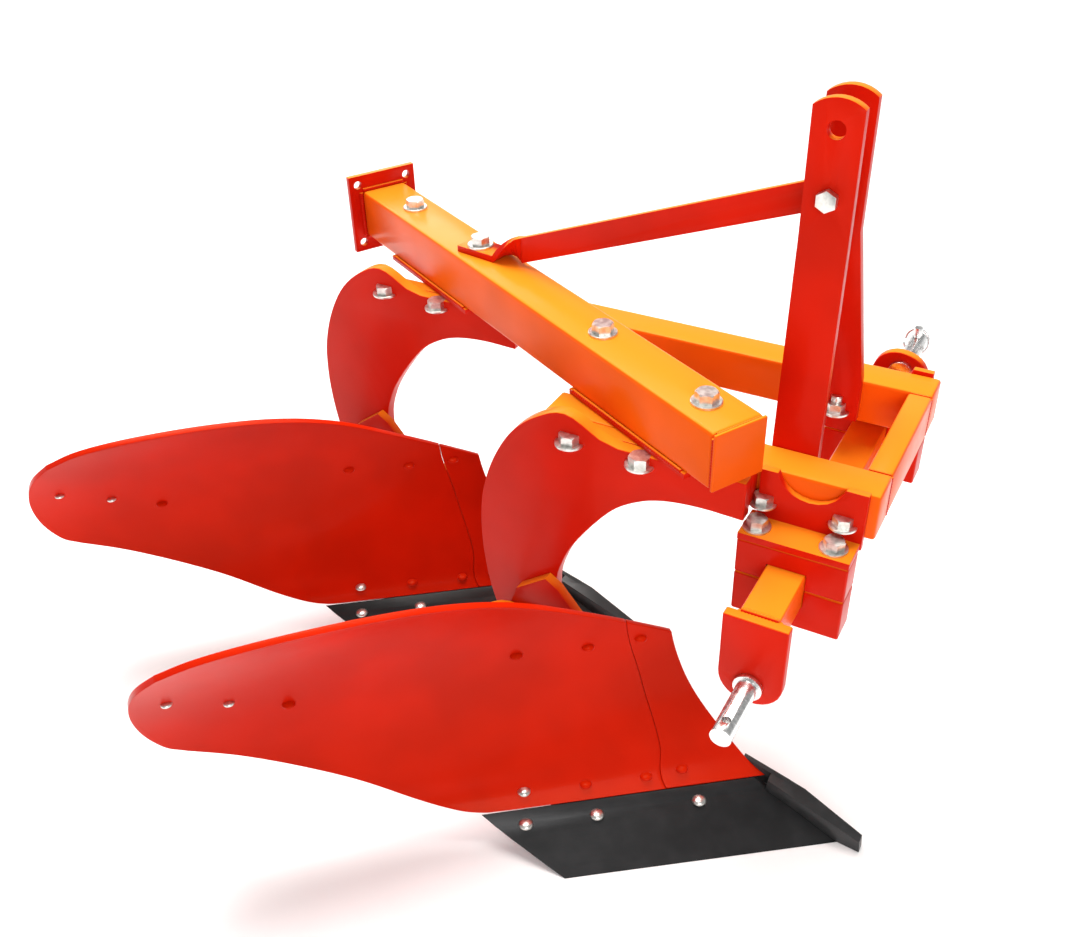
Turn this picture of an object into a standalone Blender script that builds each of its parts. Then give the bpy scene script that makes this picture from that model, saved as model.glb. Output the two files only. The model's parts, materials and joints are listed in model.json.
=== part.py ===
"""Two-furrow mounted mouldboard plough, right-turning.

Frame: metres, +X is the direction of travel, +Y is the land (left) side, +Z is up.
The plough stands on its shares, points and landsides, so the ground is Z = 0.
Everything is laid out from the centre of the main beam's front end, and the whole
plough is then moved so that the middle of its box stands over the origin.
"""
import math

import bmesh
import bpy
from mathutils import Matrix, Vector

# ---------------------------------------------------------------- driving sizes
GAP = 0.0003                # running gap between pieces that touch

BEAM_SIDE = 0.080           # square tube of the main beam
BEAM_LENGTH = 0.933
BEAM_TOP = 0.655            # height of the beam's top above the ground
BEAM_SWEEP = math.radians(28.7)   # the beam runs back and to the land side
BEAM_BEVEL = 0.006
BODY_PITCH = 0.5366         # from one plough body to the next, along the beam
CAP_THICKNESS = 0.005
END_PLATE_HEIGHT = 0.135
END_PLATE_WIDTH = 0.124
END_PLATE_THICKNESS = 0.010
END_PLATE_HOLE = 0.014
END_PLATE_EDGE = 0.016      # hole centre to the plate's edge

PAD_THICKNESS = 0.008       # plate between the beam and what hangs under it
PAD_START = 0.045           # along the beam from its front end
PAD_LENGTH = 0.250
PAD_OVERHANG = 0.002        # past the beam's side
PAD_BOLT = 0.015            # pad's front end to its first bolt

BAR_WIDTH = 0.054           # side bars of the headstock frame
BAR_HEIGHT = 0.065
BAR_BEVEL = 0.004
RIGHT_BAR_Y = 0.054         # right face of the right bar
BAR_FRONT_X = 0.164
RIGHT_BAR_REAR_X = -0.290
LEFT_BAR_REAR_X = -0.545
FRONT_BAR_DEPTH = 0.032

STANDARD_THICKNESS = 0.020
STANDARD_Y = 0.010          # right face of the front body's standard
STANDARD_ARM_FRONT_X = 0.012
WEB_REAR_X = -0.270
WEB_BOTTOM = 0.520
WEB_CHAMFER = 0.014

MAST_CENTRE_Y = 0.190
MAST_SLOT = 0.040           # between the uprights, where the top link goes
MAST_WIDTH = 0.060
MAST_THICKNESS = 0.012
MAST_APEX = 0.993           # top of the uprights above the ground
MAST_BEND = 0.823           # height of the bend
MAST_TOP_X = 0.030
MAST_BASE_X = 0.040
MAST_CROWN = 0.011          # rise of the rounded top
TOP_HOLE = 0.022
TOP_HOLE_HEIGHT = 0.957
STAY_BOLT_HEIGHT = 0.877
STAY_BOLT = 0.016
STAY_WIDTH = 0.040
STAY_THICKNESS = 0.010
BOLT_SPACER = 0.025

BRACKET_PLATE = 0.010
BRACKET_REAR_X = 0.018
BRACKET_LENGTH = 0.134
BRACKET_TOP = 0.571
BRACKET_LEG_TOP = 0.500
BRACKET_LEG = 0.044         # outreach of the bracket's flat leg
NOTCH_RADIUS = 0.044        # round notch in the bracket's top edge
NOTCH_FROM_REAR = 0.064
NOTCH_RAISE = 0.012         # its centre above the top edge
BLOCK_REAR_X = 0.009
BLOCK_LENGTH = 0.141
SHAFT_SIDE = 0.050
SHAFT_X = 0.075
SHAFT_Z = 0.438
SHAFT_CLEARANCE = 0.0005    # between the shaft and its clamps
BLOCK_BOTTOM = 0.377
RIGHT_CRANK_Y = -0.108      # outer face of the right crank arm
LEFT_CRANK_Y = 0.475        # outer face of the left crank arm
CRANK_THICKNESS = 0.015
CRANK_WIDTH = 0.082
CRANK_DROP = 0.105          # shaft axis to the arm's far end
CRANK_ROUND = 0.038
PIN_DROP = 0.075            # shaft axis to the pin
LEFT_CRANK_TURN = math.radians(193)
PIN_DIAMETER = 0.027
PIN_REACH = 0.095           # from the arm's outer face
PIN_COLLAR = 0.037
PIN_COLLAR_THICKNESS = 0.007
PIN_HEAD = 0.036
LINCH_HOLE = 0.011
LINCH_FROM_END = 0.018

LANDSIDE_PLANE = 0.030      # plane of the shin's land edge
EDGE_START_X = 0.222        # where the share's edge line meets that plane
EDGE_ANGLE = math.radians(36.5)
TWIST = math.radians(10.0)  # growth of that angle up to the twist height
TWIST_HEIGHT = 0.400
TWIST_POWER = 1.3
BODY_PLATE = 0.009          # thickness of share, shin and mouldboard
SHARE_HEIGHT = 0.0555
SEAM = 0.0006               # open joint between share, shin and mouldboard
FROG_PLATE = 0.016
FROG_SEAT = 0.012
LANDSIDE_HEIGHT = 0.100
LANDSIDE_THICKNESS = 0.018
LANDSIDE_REAR_X = -0.330
POINT_RIGHT = 0.015         # faces of the point bar at its rear
POINT_LEFT = 0.038
POINT_TIP = 0.226
POINT_TAPER_START = 0.130
POINT_LEAN = 0.009          # how far the tip leans to the right
POINT_NARROWING = 0.009
BRACE_WIDTH = 0.032
BRACE_THICKNESS = 0.008

# sizes that follow from these
BEAM_BOTTOM = BEAM_TOP - BEAM_SIDE
PAD_BOTTOM = BEAM_BOTTOM - GAP - PAD_THICKNESS
BAR_TOP = PAD_BOTTOM - GAP
ALONG_BEAM = Vector((-math.cos(BEAM_SWEEP), math.sin(BEAM_SWEEP), 0))
ACROSS_BEAM = Vector((math.sin(BEAM_SWEEP), math.cos(BEAM_SWEEP), 0))
BODY_STEP = ALONG_BEAM * BODY_PITCH
LEFT_BAR_Y = RIGHT_BAR_Y + BODY_STEP.y
STANDARD_LEFT = STANDARD_Y + STANDARD_THICKNESS
FRAME_CENTRE_Y = (RIGHT_BAR_Y + LEFT_BAR_Y + BAR_WIDTH) / 2

RED = (0.62, 0.035, 0.008)
ORANGE = (0.70, 0.08, 0.010)
BLACK = (0.016, 0.016, 0.018)
ZINC = (0.62, 0.62, 0.60)


# ---------------------------------------------------------------- scene helpers
def clear_scene():
    for item in list(bpy.data.objects):
        bpy.data.objects.remove(item)


def new_collection(name):
    group = bpy.data.collections.new(name)
    bpy.context.scene.collection.children.link(group)
    return group


def material(name, colour, roughness, metallic):
    made = bpy.data.materials.new(name)
    made.use_nodes = True
    shader = made.node_tree.nodes["Principled BSDF"]
    shader.inputs["Base Color"].default_value = (*colour, 1)
    shader.inputs["Roughness"].default_value = roughness
    shader.inputs["Metallic"].default_value = metallic
    return made


clear_scene()
PLOUGH = new_collection("mouldboard_plough")
CUTTERS = new_collection("cutters")
ROOT = bpy.data.objects.new("plough", None)
PLOUGH.objects.link(ROOT)

PAINT = material("red_paint", RED, 0.35, 0.0)
BEAM_PAINT = material("orange_red_paint", ORANGE, 0.35, 0.0)
BLACK_STEEL = material("black_steel", BLACK, 0.45, 0.3)
ZINC_STEEL = material("zinc_steel", ZINC, 0.30, 1.0)


def empty(name, location=(0, 0, 0)):
    made = bpy.data.objects.new(name, None)
    made.location = location
    made.parent = ROOT
    PLOUGH.objects.link(made)
    return made


def hang_from(holder, point):
    """Moves an empty to a point and leaves the pieces under it where they are."""
    holder.location = point
    for child in ROOT.children_recursive:
        if child.parent == holder:
            child.location = -point


def place(made, finish, parent=None, smooth=True):
    """Puts a finished piece in the plough's collection, under its parent."""
    PLOUGH.objects.link(made)
    made.parent = parent or ROOT
    made.data.materials.clear()
    made.data.materials.append(finish)
    if smooth:
        made.data.shade_smooth()
        made.data.set_sharp_from_angle(angle=math.radians(32))
    return made


def cutter(made, parent=None):
    CUTTERS.objects.link(made)
    made.parent = parent or ROOT
    made.hide_render = True
    made.display_type = "WIRE"
    return made


def boolean(target, tool, operation="DIFFERENCE"):
    cut = target.modifiers.new("cut", "BOOLEAN")
    cut.operation = operation
    cut.solver = "EXACT"
    cut.object = tool


def object_from(bm, name):
    mesh = bpy.data.meshes.new(name)
    bmesh.ops.recalc_face_normals(bm, faces=bm.faces)
    bm.to_mesh(mesh)
    bm.free()
    return bpy.data.objects.new(name, mesh)


def box(name, low, high):
    """A box given by its lowest and highest corners."""
    bm = bmesh.new()
    size = Vector(high) - Vector(low)
    middle = (Vector(high) + Vector(low)) / 2
    bmesh.ops.create_cube(bm, size=1)
    bmesh.ops.scale(bm, vec=size, verts=bm.verts)
    bmesh.ops.translate(bm, vec=middle, verts=bm.verts)
    return object_from(bm, name)


def beam_box(name, start, length, half_width, low, high):
    """A box that lies along the beam: start and length run back from its front end."""
    bm = bmesh.new()
    bmesh.ops.create_cube(bm, size=1)
    bmesh.ops.scale(bm, vec=(length, 2 * half_width, high - low), verts=bm.verts)
    bmesh.ops.translate(bm, vec=(start + length / 2, 0, (low + high) / 2), verts=bm.verts)
    bmesh.ops.rotate(bm, matrix=Matrix.Rotation(math.pi - BEAM_SWEEP, 3, "Z"), verts=bm.verts)
    return object_from(bm, name)


def rod(name, radius, start, end, sides=24):
    """A cylinder between two points."""
    start, end = Vector(start), Vector(end)
    axis = end - start
    turn = axis.to_track_quat("Z", "Y").to_matrix()
    bm = bmesh.new()
    bmesh.ops.create_cone(
        bm, cap_ends=True, segments=sides, radius1=radius, radius2=radius, depth=axis.length)
    bmesh.ops.rotate(bm, matrix=turn, verts=bm.verts)
    bmesh.ops.translate(bm, vec=(start + end) / 2, verts=bm.verts)
    return object_from(bm, name)


def bevel(target, width, segments=2):
    edge = target.modifiers.new("edges", "BEVEL")
    edge.width = width
    edge.segments = segments
    edge.limit_method = "ANGLE"
    edge.angle_limit = math.radians(50)


def spline_points(points, steps):
    """A smooth open curve through the points, each span cut into the same steps."""
    ends = [2 * points[0] - points[1]] + list(points) + [2 * points[-1] - points[-2]]
    curve = []
    for before, a, b, after in zip(ends, ends[1:], ends[2:], ends[3:]):
        for step in range(steps):
            t = step / steps
            curve.append(0.5 * (
                2 * a + (b - before) * t
                + (2 * before - 5 * a + 4 * b - after) * t ** 2
                + (3 * a - before - 3 * b + after) * t ** 3))
    return curve + [points[-1]]


def evenly(points, count):
    """The same curve with its points spread evenly along its length."""
    lengths = [0]
    for a, b in zip(points, points[1:]):
        lengths.append(lengths[-1] + (b - a).length)
    even = []
    for index in range(count):
        goal = lengths[-1] * index / (count - 1)
        span = 0
        while span < len(points) - 2 and lengths[span + 1] < goal:
            span += 1
        share = (goal - lengths[span]) / max(lengths[span + 1] - lengths[span], 1e-9)
        even.append(points[span].lerp(points[span + 1], min(share, 1)))
    return even


def flat_plate(name, outline, right, left):
    """A plate that stands along X: its outline is in X and Z, its faces at two Y."""
    bm = bmesh.new()
    corners = [bm.verts.new((x, right, z)) for x, z in outline]
    face = bm.faces.new(corners)
    raised = bmesh.ops.extrude_face_region(bm, geom=[face])
    moved = [item for item in raised["geom"] if isinstance(item, bmesh.types.BMVert)]
    bmesh.ops.translate(bm, vec=(0, left - right, 0), verts=moved)
    return object_from(bm, name)


def arc(centre, radius, start, end, steps):
    """Points of an arc in a plane, with its angles in degrees."""
    turned = [math.radians(start + (end - start) * i / steps) for i in range(steps + 1)]
    return [(centre[0] + radius * math.cos(a), centre[1] + radius * math.sin(a)) for a in turned]


def ribbon(name, stations, thickness):
    """A flat bar along stations, each a centre and the half-width vector across it."""
    bm = bmesh.new()
    pairs = [(bm.verts.new(centre + half), bm.verts.new(centre - half)) for centre, half in stations]
    for (a, b), (c, d) in zip(pairs, pairs[1:]):
        bm.faces.new((a, b, d, c))
    made = object_from(bm, name)
    wall = made.modifiers.new("thickness", "SOLIDIFY")
    wall.thickness = thickness
    wall.offset = 0
    wall.use_even_offset = True
    return made


# ---------------------------------------------------------------- beam and frame
def main_beam():
    beam = beam_box("main_beam", 0, BEAM_LENGTH, BEAM_SIDE / 2, BEAM_BOTTOM, BEAM_TOP)
    bevel(beam, BEAM_BEVEL)
    place(beam, BEAM_PAINT)
    cap = beam_box("beam_front_cap", -GAP - CAP_THICKNESS, CAP_THICKNESS,
                   BEAM_SIDE / 2, BEAM_BOTTOM, BEAM_TOP)
    bevel(cap, CAP_THICKNESS / 4, 1)
    place(cap, BEAM_PAINT)


def end_plate():
    middle = BEAM_TOP - BEAM_SIDE / 2
    rise = END_PLATE_HEIGHT / 2
    start = BEAM_LENGTH + GAP
    plate = beam_box("beam_end_plate", start, END_PLATE_THICKNESS, END_PLATE_WIDTH / 2,
                     middle - rise, middle + rise)
    for side in (-1, 1):
        for level in (-1, 1):
            across = ACROSS_BEAM * side * (END_PLATE_WIDTH / 2 - END_PLATE_EDGE)
            at = across + Vector((0, 0, middle + level * (rise - END_PLATE_EDGE)))
            hole = rod("end_plate_hole", END_PLATE_HOLE / 2, at + ALONG_BEAM * (start - 0.01),
                       at + ALONG_BEAM * (start + END_PLATE_THICKNESS + 0.01), 16)
            boolean(plate, cutter(hole))
    place(plate, PAINT)


def pads_and_web():
    """A pad under the beam for each body, and the web that the rear standard hangs on."""
    for name, body in (("front", 0), ("rear", 1)):
        start = PAD_START + body * BODY_PITCH
        pad = beam_box(f"beam_pad_{name}", start, PAD_LENGTH, BEAM_SIDE / 2 + PAD_OVERHANG,
                       PAD_BOTTOM, PAD_BOTTOM + PAD_THICKNESS)
        place(pad, PAINT)


def standard_webs():
    """The block between each standard and its side bar."""
    for name, body in (("front", 0), ("rear", 1)):
        shift = BODY_STEP * body
        outline = [(WEB_REAR_X, WEB_BOTTOM), (WEB_REAR_X, BAR_TOP - WEB_CHAMFER)]
        outline += [(WEB_REAR_X + WEB_CHAMFER, BAR_TOP), (STANDARD_ARM_FRONT_X, BAR_TOP)]
        outline += [(STANDARD_ARM_FRONT_X, WEB_BOTTOM)]
        web = flat_plate(f"standard_web_{name}", outline, STANDARD_LEFT + GAP, RIGHT_BAR_Y - GAP)
        place(web, PAINT, empty(f"web_{name}", shift))


def headstock_frame():
    low = BAR_TOP - BAR_HEIGHT
    right = box("frame_right_bar", (RIGHT_BAR_REAR_X, RIGHT_BAR_Y, low),
                (BAR_FRONT_X, RIGHT_BAR_Y + BAR_WIDTH, BAR_TOP))
    left = box("frame_left_bar", (LEFT_BAR_REAR_X, LEFT_BAR_Y, low),
               (BAR_FRONT_X, LEFT_BAR_Y + BAR_WIDTH, BAR_TOP))
    front = box("frame_front_bar", (BAR_FRONT_X - FRONT_BAR_DEPTH, RIGHT_BAR_Y + BAR_WIDTH + GAP, low),
                (BAR_FRONT_X, LEFT_BAR_Y - GAP, BAR_TOP))
    for bar in (right, left, front):
        bevel(bar, BAR_BEVEL)
        place(bar, BEAM_PAINT)


# ---------------------------------------------------------------- mast and stay
def mast_upright(name, side):
    """side is -1 for the right upright and 1 for the left one."""
    bar_face = FRAME_CENTRE_Y + side * (FRAME_CENTRE_Y - RIGHT_BAR_Y - BAR_WIDTH)
    base_y = bar_face - side * (GAP + MAST_THICKNESS / 2)
    top_y = MAST_CENTRE_Y + side * (MAST_SLOT + MAST_THICKNESS) / 2
    low = BAR_TOP - BAR_HEIGHT * 0.9
    path = [(MAST_BASE_X, base_y, low), (MAST_BASE_X, base_y, BAR_TOP + 0.006),
            (MAST_TOP_X, top_y, MAST_BEND)]
    half = MAST_WIDTH / 2
    stations = [(Vector(point), Vector((half, 0, 0))) for point in path]
    radius = (half ** 2 + MAST_CROWN ** 2) / (2 * MAST_CROWN)
    for width in (1, 0.9, 0.75, 0.55, 0.3, 0.08):
        fall = radius - math.sqrt(radius ** 2 - (width * half) ** 2)
        centre = Vector((MAST_TOP_X, top_y, MAST_APEX - fall))
        stations.append((centre, Vector((width * half, 0, 0))))
    upright = ribbon(name, stations, MAST_THICKNESS)
    reach = MAST_SLOT + 4 * MAST_THICKNESS
    for height, bore in ((TOP_HOLE_HEIGHT, TOP_HOLE), (STAY_BOLT_HEIGHT, STAY_BOLT + 2 * GAP)):
        start = (MAST_TOP_X, MAST_CENTRE_Y - reach, height)
        end = (MAST_TOP_X, MAST_CENTRE_Y + reach, height)
        boolean(upright, cutter(rod(f"{name}_bore", bore / 2, start, end)))
    place(upright, PAINT)


def stay_foot():
    """Centre of the stay's foot, over the front bolt of the rear body."""
    foot = ALONG_BEAM * (PAD_START + PAD_BOLT + BODY_PITCH)
    foot.z = BEAM_TOP + GAP + STAY_THICKNESS / 2
    return foot


def mast_stay():
    """A flat bar on edge from the mast, twisted flat into a foot on the beam."""
    front = Vector((MAST_TOP_X, MAST_CENTRE_Y, STAY_BOLT_HEIGHT))
    foot = stay_foot()
    foot_level = foot.z
    run = Vector((foot.x - front.x, foot.y - front.y, 0)).normalized()
    side = Vector((-run.y, run.x, 0))
    up = Vector((0, 0, 1))
    half = STAY_WIDTH / 2
    end = foot - run * -0.030
    twist_start = foot - run * 0.085
    twist_end = foot - run * 0.040
    twist_start.z = foot_level + half
    stations = [(front - run * 0.022, up * half * 0.45), (front - run * 0.014, up * half * 0.85),
                (front, up * half)]
    stations.append((twist_start, up * half))
    for step in range(1, 6):
        share = step / 5
        angle = share * math.pi / 2
        centre = twist_start.lerp(twist_end, share)
        centre.z = foot_level + half * math.cos(angle) + 2 * GAP * (1 - share)
        stations.append((centre, (up * math.cos(angle) + side * math.sin(angle)) * half))
    stations.append((end, side * half))
    stay = ribbon("mast_stay", stations, STAY_THICKNESS)
    reach = MAST_SLOT
    bore = rod("stay_bore", STAY_BOLT / 2 + GAP, front - Vector((0, reach, 0)), front + Vector((0, reach, 0)))
    boolean(stay, cutter(bore))
    place(stay, PAINT)


def stay_bolt():
    """The bolt through both uprights and the stay, with its head, nut and spacers."""
    half = MAST_SLOT / 2 + MAST_THICKNESS + GAP
    start = Vector((MAST_TOP_X, MAST_CENTRE_Y, STAY_BOLT_HEIGHT))
    shank = rod("stay_bolt", STAY_BOLT / 2, start - Vector((0, half + 0.006, 0)),
                start + Vector((0, half + 0.012, 0)))
    foot = stay_foot()
    skew = abs((foot.y - start.y) / (foot.x - start.x))
    clear = STAY_THICKNESS / 2 * (1 + skew) + BOLT_SPACER / 2 * skew + GAP
    for side in (-1, 1):
        near = start + Vector((0, side * half, 0))
        far = near + Vector((0, side * 0.010, 0))
        boolean(shank, cutter(rod("bolt_hexagon", 0.0135, near, far, 6)), "UNION")
        inner = start + Vector((0, side * clear, 0))
        outer = start + Vector((0, side * (MAST_SLOT / 2 - GAP), 0))
        boolean(shank, cutter(rod("bolt_spacer", BOLT_SPACER / 2, inner, outer)), "UNION")
    place(shank, ZINC_STEEL)


# ---------------------------------------------------------------- hitch
def hitch_bracket(name, side):
    """An angle bolted to the bar's outer face: side is -1 right, 1 left."""
    face = FRAME_CENTRE_Y + side * (FRAME_CENTRE_Y - RIGHT_BAR_Y + GAP)
    front_x = BRACKET_REAR_X + BRACKET_LENGTH
    dip = (BRACKET_REAR_X + NOTCH_FROM_REAR, BRACKET_TOP + NOTCH_RAISE)
    reach = math.degrees(math.asin(NOTCH_RAISE / NOTCH_RADIUS))
    outline = [(front_x, BRACKET_LEG_TOP - BRACKET_PLATE), (front_x, BRACKET_TOP)]
    outline += arc(dip, NOTCH_RADIUS, -reach, reach - 180, 10)
    outline += [(BRACKET_REAR_X, BRACKET_TOP), (BRACKET_REAR_X, BRACKET_LEG_TOP - BRACKET_PLATE)]
    outer = face + side * BRACKET_PLATE
    bracket = flat_plate(name, outline, min(face, outer), max(face, outer))
    reach = face + side * (BRACKET_PLATE + BRACKET_LEG)
    leg = box(f"{name}_leg", (BLOCK_REAR_X, min(face, reach), BRACKET_LEG_TOP - BRACKET_PLATE),
              (BLOCK_REAR_X + BLOCK_LENGTH, max(face, reach), BRACKET_LEG_TOP))
    boolean(bracket, cutter(leg), "UNION")
    place(bracket, PAINT)
    return outer + side * GAP, reach


def clamp_blocks(side_name, near, far):
    """Two blocks with a square gap for the cross shaft between them."""
    half = SHAFT_SIDE / 2 + SHAFT_CLEARANCE
    middle = SHAFT_Z
    low, high = min(near, far), max(near, far)
    end_x = BLOCK_REAR_X + BLOCK_LENGTH
    space = box("shaft_space", (SHAFT_X - half, low - 0.01, middle - half),
                (SHAFT_X + half, high + 0.01, middle + half))
    cutter(space)
    upper = box(f"clamp_block_upper_{side_name}", (BLOCK_REAR_X, low, middle + GAP),
                (end_x, high, BRACKET_LEG_TOP - BRACKET_PLATE - GAP))
    lower = box(f"clamp_block_lower_{side_name}", (BLOCK_REAR_X, low, BLOCK_BOTTOM),
                (end_x, high, middle - GAP))
    for block in (upper, lower):
        bevel(block, 0.002, 1)
        boolean(block, space)
        place(block, PAINT)


def crank_outline(turn):
    """The arm's outline about the shaft axis, turned about it."""
    half = CRANK_WIDTH / 2
    top = SHAFT_SIDE / 2
    bottom = -CRANK_DROP
    corner = CRANK_ROUND
    shape = [(half, top), (-half, top)]
    shape += arc((-half + corner, bottom + corner), corner, 180, 270, 7)
    shape += arc((half - corner, bottom + corner), corner, 270, 360, 7)
    spin = Matrix.Rotation(turn, 2)
    return [(SHAFT_X + (spin @ Vector(p)).x, SHAFT_Z + (spin @ Vector(p)).y) for p in shape]


def pin_centre(turn):
    spun = Matrix.Rotation(turn, 2) @ Vector((0, -PIN_DROP))
    return SHAFT_X + spun.x, SHAFT_Z + spun.y


def crank_and_pin(side_name, side, turn, holder):
    """A crank arm and its pin: side is -1 for the right arm, whose pin points right."""
    outer = RIGHT_CRANK_Y if side < 0 else LEFT_CRANK_Y
    inner = outer - side * CRANK_THICKNESS
    arm = flat_plate(f"crank_arm_{side_name}", crank_outline(turn), min(outer, inner), max(outer, inner))
    x, z = pin_centre(turn)
    bore = rod("pin_bore", PIN_DIAMETER / 2 + GAP, (x, inner - side * 0.02, z), (x, outer + side * 0.02, z))
    boolean(arm, cutter(bore, holder))
    bevel(arm, 0.0015, 1)
    place(arm, PAINT, holder)

    tip = outer + side * PIN_REACH
    pin = rod(f"hitch_pin_{side_name}", PIN_DIAMETER / 2, (x, inner - side * 0.002, z), (x, tip, z), 32)
    head = rod("pin_head", PIN_HEAD / 2, (x, inner - side * GAP, z), (x, inner - side * 0.007, z), 32)
    collar_start = outer + side * GAP
    collar = rod("pin_collar", PIN_COLLAR / 2, (x, collar_start, z),
                 (x, collar_start + side * PIN_COLLAR_THICKNESS, z), 32)
    for ring in (head, collar):
        boolean(pin, cutter(ring, holder), "UNION")
    cross = tip - side * LINCH_FROM_END
    hole = rod("linch_hole", LINCH_HOLE / 2, (x, cross, z - 0.03), (x, cross, z + 0.03), 16)
    boolean(pin, cutter(hole, holder))
    place(pin, ZINC_STEEL, holder)


def hitch():
    near, far = hitch_bracket("hitch_bracket_right", -1)
    clamp_blocks("right", near, far)
    near, far = hitch_bracket("hitch_bracket_left", 1)
    clamp_blocks("left", near, far)
    holder = empty("cross_shaft_slide")
    half = SHAFT_SIDE / 2
    inset = CRANK_THICKNESS + GAP
    shaft = box("cross_shaft", (SHAFT_X - half, RIGHT_CRANK_Y + inset, SHAFT_Z - half),
                (SHAFT_X + half, LEFT_CRANK_Y - inset, SHAFT_Z + half))
    bevel(shaft, 0.002, 1)
    place(shaft, BEAM_PAINT, holder)
    crank_and_pin("right", -1, 0, holder)
    crank_and_pin("left", 1, -LEFT_CRANK_TURN, holder)
    hang_from(holder, Vector((SHAFT_X, FRAME_CENTRE_Y, SHAFT_Z)))


# ---------------------------------------------------------------- plough body
# How far the land edge of the working surface lies behind the share's start, by height.
LAND_EDGE = ((-0.040, -0.105), (0.000, 0.000), (0.056, 0.147), (0.106, 0.207), (0.163, 0.257),
             (0.210, 0.284), (0.270, 0.303), (0.330, 0.307), (0.390, 0.298), (0.450, 0.278))


def set_back(height):
    """Smooth reading of LAND_EDGE, by cubic pieces that keep its slopes."""
    table = LAND_EDGE
    span = 0
    while span < len(table) - 2 and height > table[span + 1][0]:
        span += 1

    def slope(index):
        low, high = max(index - 1, 0), min(index + 1, len(table) - 1)
        return (table[high][1] - table[low][1]) / (table[high][0] - table[low][0])

    (h0, d0), (h1, d1) = table[span], table[span + 1]
    width = h1 - h0
    t = (height - h0) / width
    return ((1 + 2 * t) * (1 - t) ** 2 * d0 + t * (1 - t) ** 2 * width * slope(span)
            + t * t * (3 - 2 * t) * d1 + t * t * (t - 1) * width * slope(span + 1))


def surface(u, height):
    """Working surface: u runs level from the land edge, back and to the furrow side."""
    angle = EDGE_ANGLE + TWIST * (max(height, 0) / TWIST_HEIGHT) ** TWIST_POWER
    x = EDGE_START_X - set_back(height) - u * math.cos(angle)
    return Vector((x, LANDSIDE_PLANE - u * math.sin(angle), height))


def surface_normal(u, height):
    """Unit normal on the side that the soil slides over."""
    step = 0.002
    along = surface(u + step, height) - surface(u - step, height)
    upward = surface(u, height + step) - surface(u, height - step)
    normal = upward.cross(along).normalized()
    return normal if normal.x > 0 or normal.z > 0 else -normal


def behind(u, height, depth):
    return surface(u, height) - surface_normal(u, height) * depth


def patch(name, bottom, top, right, left, columns, rows, front=0.0, back=BODY_PLATE):
    """A curved plate whose four edges are curves of (u, height), blended between them."""
    def edge(points, count):
        line = [Vector(p) for p in points]
        if len(line) > 2:
            line = spline_points(line, 8)
        return evenly(line, count)

    low, high = edge(bottom, columns + 1), edge(top, columns + 1)
    start, end = edge(right, rows + 1), edge(left, rows + 1)
    bm = bmesh.new()
    sheets = []
    for depth in (-front, back):
        grid = []
        for i in range(columns + 1):
            s = i / columns
            line = []
            for j in range(rows + 1):
                t = j / rows
                across = low[i].lerp(high[i], t)
                along = start[j].lerp(end[j], s)
                corners = (low[0].lerp(high[0], t)).lerp(low[-1].lerp(high[-1], t), s)
                u, height = across + along - corners
                line.append(bm.verts.new(behind(u, height, depth)))
            grid.append(line)
        sheets.append(grid)
    for grid in sheets:
        for a, b in zip(grid, grid[1:]):
            for j in range(rows):
                bm.faces.new((a[j], a[j + 1], b[j + 1], b[j]))
    face, rear = sheets
    for i in range(columns):
        for j in (0, rows):
            bm.faces.new((face[i][j], face[i + 1][j], rear[i + 1][j], rear[i][j]))
    for j in range(rows):
        for i in (0, columns):
            bm.faces.new((face[i][j], face[i][j + 1], rear[i][j + 1], rear[i][j]))
    return object_from(bm, name)


# Corners and edges of the body's plates, as (u, height) on the working surface.
SHIN_SEAM = ((0.147, 0.0563), (0.092, 0.122), (0.064, 0.206), (0.064, 0.302))
SHIN_TOP = ((0.000, 0.271), (0.0634, 0.302))
BOARD_TOP = ((0.064, 0.302), (0.125, 0.332), (0.233, 0.384), (0.338, 0.416), (0.450, 0.432),
             (0.560, 0.435), (0.635, 0.426), (0.680, 0.404))
BOARD_TAIL = ((0.684, 0.217), (0.706, 0.233), (0.719, 0.272), (0.719, 0.325), (0.706, 0.371),
              (0.680, 0.404))
BOARD_BOTTOM = ((0.147, 0.0563), (0.290, 0.0563), (0.385, 0.0566), (0.415, 0.0582), (0.440, 0.065),
                (0.471, 0.084), (0.525, 0.128), (0.618, 0.185), (0.684, 0.217))
SHARE_WING = ((0.427, 0.000), (0.415, SHARE_HEIGHT))
SHARE_LAND_END = ((0.033, 0.000), (0.018, SHARE_HEIGHT))


def body_cutters(name, holder):
    """Solids that trim a body's pieces: the point bar's place, the ground, the working skin."""
    point = cutter(point_bar_solid(f"point_place_{name}", holder, GAP), holder)
    ground = cutter(box(f"ground_{name}", (-1.0, -1.0, -0.1), (1.0, 1.0, 0.0)), holder)
    skin = patch(f"skin_{name}", ((-0.06, -0.03), (0.45, -0.03)), ((-0.06, 0.34), (0.45, 0.34)),
                 ((-0.06, -0.03), (-0.06, 0.34)), ((0.45, -0.03), (0.45, 0.34)), 24, 40,
                 front=0.035, back=BODY_PLATE + 2 * GAP)
    return point, ground, cutter(skin, holder)


def nose(y, heights):
    """Outline of the working surface where an upright plane at y cuts it."""
    line = []
    for height in heights:
        angle = EDGE_ANGLE + TWIST * (max(height, 0) / TWIST_HEIGHT) ** TWIST_POWER
        u = (LANDSIDE_PLANE - y) / math.sin(angle)
        line.append((surface(u, height).x, height))
    return line


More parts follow.
